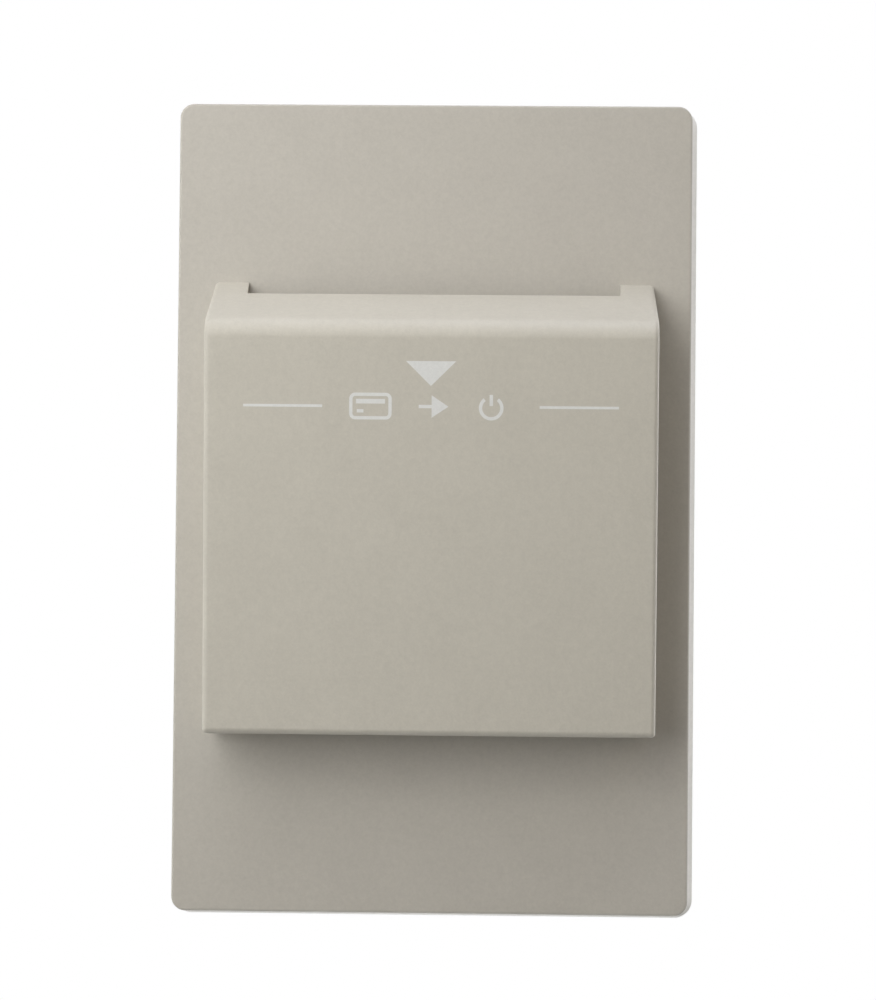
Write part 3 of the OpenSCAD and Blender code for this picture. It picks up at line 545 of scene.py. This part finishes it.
class Print:
    """Flat ink shapes, laid on the front of the card pocket as one thin solid."""

    def __init__(self, name):
        self.name = name
        self.mesh = bmesh.new()

    def area(self, points):
        """The shape inside one outline."""
        self.mesh.faces.new([self.mesh.verts.new((x, 0, z)) for x, z in points])

    def band(self, outer, inner, closed):
        """The stretch between two lines that have as many points as each other."""
        pairs = [[self.mesh.verts.new((x, 0, z)) for x, z in pair] for pair in zip(outer, inner)]
        for k in range(len(pairs) if closed else len(pairs) - 1):
            (a, b), (c, d) = pairs[k], pairs[(k + 1) % len(pairs)]
            self.mesh.faces.new((a, c, d, b))

    def lay(self, carrier, material):
        """Thickens the shapes, drapes them over the carrier's front and gives them their ink."""
        flat = list(self.mesh.faces)
        raised = bmesh.ops.extrude_face_region(self.mesh, geom=flat, use_keep_orig=True)["geom"]
        proud = {v for v in raised if isinstance(v, bmesh.types.BMVert)}
        for vert in self.mesh.verts:
            ahead = Vector((vert.co.x, cad_box[0][1] - MM, vert.co.z))
            found, place, _, _ = carrier.ray_cast(ahead, Vector((0, 1, 0)))
            if not found:
                raise ValueError("the legend reaches past " + carrier.name)
            vert.co.y = place.y + (-INK_PROUD if vert in proud else INK_SUNK)
        bmesh.ops.recalc_face_normals(self.mesh, faces=self.mesh.faces)
        mesh = bpy.data.meshes.new(self.name)
        self.mesh.to_mesh(mesh)
        self.mesh.free()
        mesh.materials.append(material)
        piece = bpy.data.objects.new(self.name, mesh)
        bpy.context.scene.collection.objects.link(piece)
        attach(piece, "device")


def print_mark():
    """The triangle that points the card down."""
    mark = Print("insert_mark")
    mark.area([(-MARK_W / 2, MARK_TOP), (0, MARK_TOP - MARK_H), (MARK_W / 2, MARK_TOP)])
    mark.lay(nodes["card_pocket"], ink)


def print_row():
    """A row of plain signs between two rules: a card, an arrow and the power sign."""
    row = Print("legend_row")
    card = (-SIGN_PITCH, ROW_Z)
    card_w, card_corner = CARD_ASPECT * ROW_H, CARD_CORNER * ROW_H
    row.band(box_outline(card, card_w, ROW_H, card_corner + STROKE),
             box_outline(card, card_w - 2 * STROKE, ROW_H - 2 * STROKE, card_corner), True)
    row.area(box_outline((card[0], ROW_Z + STRIPE_OFF * ROW_H), card_w - 4 * STROKE, STRIPE_H))
    chip = (card[0] - CHIP_OFF * card_w + STROKE, ROW_Z - STRIPE_OFF * ROW_H)
    row.area(box_outline(chip, 2 * STROKE, STROKE))
    shaft, head = SHAFT_L * ROW_H, ARROW_HEAD * ROW_H
    row.area([(-shaft / 2, ROW_Z + STROKE / 2), (-shaft / 2, ROW_Z - STROKE / 2),
              (shaft / 2 - head, ROW_Z - STROKE / 2), (shaft / 2 - head, ROW_Z - head),
              (shaft / 2 + head / 2, ROW_Z), (shaft / 2 - head, ROW_Z + head),
              (shaft / 2 - head, ROW_Z + STROKE / 2)])
    power = (SIGN_PITCH, ROW_Z - RING_DROP * ROW_H)
    radius = RING_R * ROW_H
    start, end = 90 + RING_GAP, 450 - RING_GAP
    row.band(arc(power, radius, start, end, RING_STEPS),
             arc(power, radius - STROKE, start, end, RING_STEPS), False)
    row.area(box_outline((power[0], power[1] + BAR_UP * radius), STROKE, BAR_L * radius))
    rule = ROW_W / 2 - RULE_FROM * SIGN_PITCH
    for side in (-1, 1):
        row.area(box_outline((side * (ROW_W - rule) / 2, ROW_Z), rule, RULE_H))
    row.lay(nodes["card_pocket"], ink)


bpy.context.view_layer.update()
print_mark()
print_row()


# Camera at the photograph's viewpoint

CAMERA_AT = Vector((10.3, -447.63, -11.3)) * MM
FOCAL_PX = 2850.3
SENSOR_W = 36
CAMERA_TURNS = (-1.626, 1.228, 0.51)


def make_camera():
    """Sets the camera from its place, its focal length in pixels and its three turns in degrees."""
    pitch, yaw, roll = (math.radians(t) for t in CAMERA_TURNS)
    turn = Matrix.Rotation(roll, 3, "Z") @ Matrix.Rotation(yaw, 3, "Y") @ Matrix.Rotation(pitch, 3, "X")
    # The rows of the turn are the camera's right, down and forward, written along right, down and forward.
    right, down, forward = (Vector((row[0], row[2], -row[1])) for row in turn)
    data = bpy.data.cameras.new("camera")
    data.sensor_width = SENSOR_W
    data.lens = FOCAL_PX * SENSOR_W / max(IMAGE_W, IMAGE_H)
    camera = bpy.data.objects.new("camera", data)
    axes = Matrix((right, -down, -forward)).transposed()
    camera.matrix_world = Matrix.Translation(CAMERA_AT) @ axes.to_4x4()
    bpy.context.scene.collection.objects.link(camera)
    bpy.context.scene.camera = camera


make_camera()


# Studio

AMBIENT = 0.02
BACKDROP = 0.1
HORIZON = 0.1
FLOOR_Z = -1.2
FLOOR_HALF = 5.0
FLOOR_GLOW = 0.6
FLOOR_COLOUR = srgb(235, 235, 235)
FLOOR_ROUGHNESS = 0.8
WHITE = (1, 1, 1, 1)
NEUTRAL = (1, 1, 1)
COOL = (0.83, 0.86, 1)
WARM = (1, 0.88, 0.74)
LAMPS = [
    # name, azimuth and elevation in degrees, distance and size in metres, power in watts, colour
    ("key_left", -60, 5, 0.5, 0.35, 0.5, NEUTRAL),
    ("key", -30, 13, 0.5, 0.35, 1.15, NEUTRAL),
    ("key_high", -30, 45, 0.35, 0.25, 0.42, NEUTRAL),
    ("top", 70, 80, 1.0, 0.7, 4.5, COOL),
    ("right", 45, 20, 1.0, 0.7, 1.05, WARM),
    ("right_side", 115, 0, 0.8, 1.0, 4.4, NEUTRAL),
    ("left_side", -104, 0, 0.8, 1.0, 1.2, NEUTRAL),
    ("below", 180, -62, 0.6, 0.2, 1.2, NEUTRAL),
    ("rear", 150, 10, 1.2, 1.6, 6.5, NEUTRAL),
    ("rear_left", 215, 5, 1.2, 1.6, 5, NEUTRAL),
]


def show_as(tree, seen, lit, output):
    """Joins to the output what rays from the camera, gloss and glass see, and what lights the object."""
    rays = tree.nodes.new("ShaderNodeLightPath")
    total = rays.outputs["Is Camera Ray"]
    for name in ("Is Glossy Ray", "Is Transmission Ray"):
        either = tree.nodes.new("ShaderNodeMath")
        either.operation = "MAXIMUM"
        tree.links.new(total, either.inputs[0])
        tree.links.new(rays.outputs[name], either.inputs[1])
        total = either.outputs[0]
    mix = tree.nodes.new("ShaderNodeMixShader")
    tree.links.new(total, mix.inputs["Fac"])
    tree.links.new(lit, mix.inputs[1])
    tree.links.new(seen, mix.inputs[2])
    tree.links.new(mix.outputs[0], output.inputs["Surface"])


def make_world():
    """Even light from all round, with more from the bright backdrop behind the plate."""
    world = bpy.data.worlds.new("studio")
    world.use_nodes = True
    bpy.context.scene.world = world
    tree = world.node_tree
    axes = tree.nodes.new("ShaderNodeSeparateXYZ")
    tree.links.new(tree.nodes.new("ShaderNodeTexCoord").outputs["Generated"], axes.inputs[0])
    level = tree.nodes.new("ShaderNodeMapRange")
    tree.links.new(axes.outputs["Y"], level.inputs["Value"])
    set_range(level, (-HORIZON, HORIZON), (AMBIENT, BACKDROP))
    light = tree.nodes["Background"]
    light.inputs["Color"].default_value = WHITE
    tree.links.new(level.outputs["Result"], light.inputs["Strength"])
    white = tree.nodes.new("ShaderNodeBackground")
    white.inputs["Color"].default_value = WHITE
    show_as(tree, white.outputs[0], light.outputs[0], tree.nodes["World Output"])


def make_floor():
    """A pale floor that keeps the object's shadow and glows up to the white of the backdrop further out."""
    mesh = bpy.data.meshes.new("floor")
    corners = [(-1, -1), (1, -1), (1, 1), (-1, 1)]
    mesh.from_pydata([(FLOOR_HALF * x, FLOOR_HALF * y, FLOOR_Z) for x, y in corners], [], [(0, 1, 2, 3)])
    floor = bpy.data.objects.new("floor", mesh)
    bpy.context.scene.collection.objects.link(floor)
    look = Shading("floor", FLOOR_COLOUR, FLOOR_ROUGHNESS)
    out = look.add("ShaderNodeVectorMath")
    out.operation = "LENGTH"
    look.tree.links.new(look.place, out.inputs[0])
    rise = look.add("ShaderNodeMapRange", Value=out.outputs["Value"])
    set_range(rise, (-FLOOR_Z, FLOOR_HALF / 2), (FLOOR_GLOW, 1))
    glow = look.add("ShaderNodeEmission", Color=WHITE, Strength=rise.outputs["Result"])
    both = look.add("ShaderNodeAddShader")
    look.tree.links.new(look.shader.outputs[0], both.inputs[0])
    look.tree.links.new(glow.outputs[0], both.inputs[1])
    show_as(look.tree, both.outputs[0], look.shader.outputs[0], look.tree.nodes["Material Output"])
    mesh.materials.append(look.material)


def make_lamp(name, azimuth, elevation, distance, size, power, colour):
    """A square lamp that faces the middle of the plate; azimuth 0 is in front, and 90 on the right."""
    around, up = math.radians(azimuth), math.radians(elevation)
    away = Vector((math.sin(around) * math.cos(up), -math.cos(around) * math.cos(up), math.sin(up)))
    data = bpy.data.lights.new(name, "AREA")
    data.size = size
    data.energy = power
    data.color = colour
    lamp = bpy.data.objects.new(name, data)
    lamp.location = away * distance
    lamp.rotation_mode = "QUATERNION"
    lamp.rotation_quaternion = away.to_track_quat("Z", "Y")
    bpy.context.scene.collection.objects.link(lamp)


make_world()
make_floor()
for lamp in LAMPS:
    make_lamp(*lamp)
bpy.context.scene.view_settings.view_transform = "Standard"
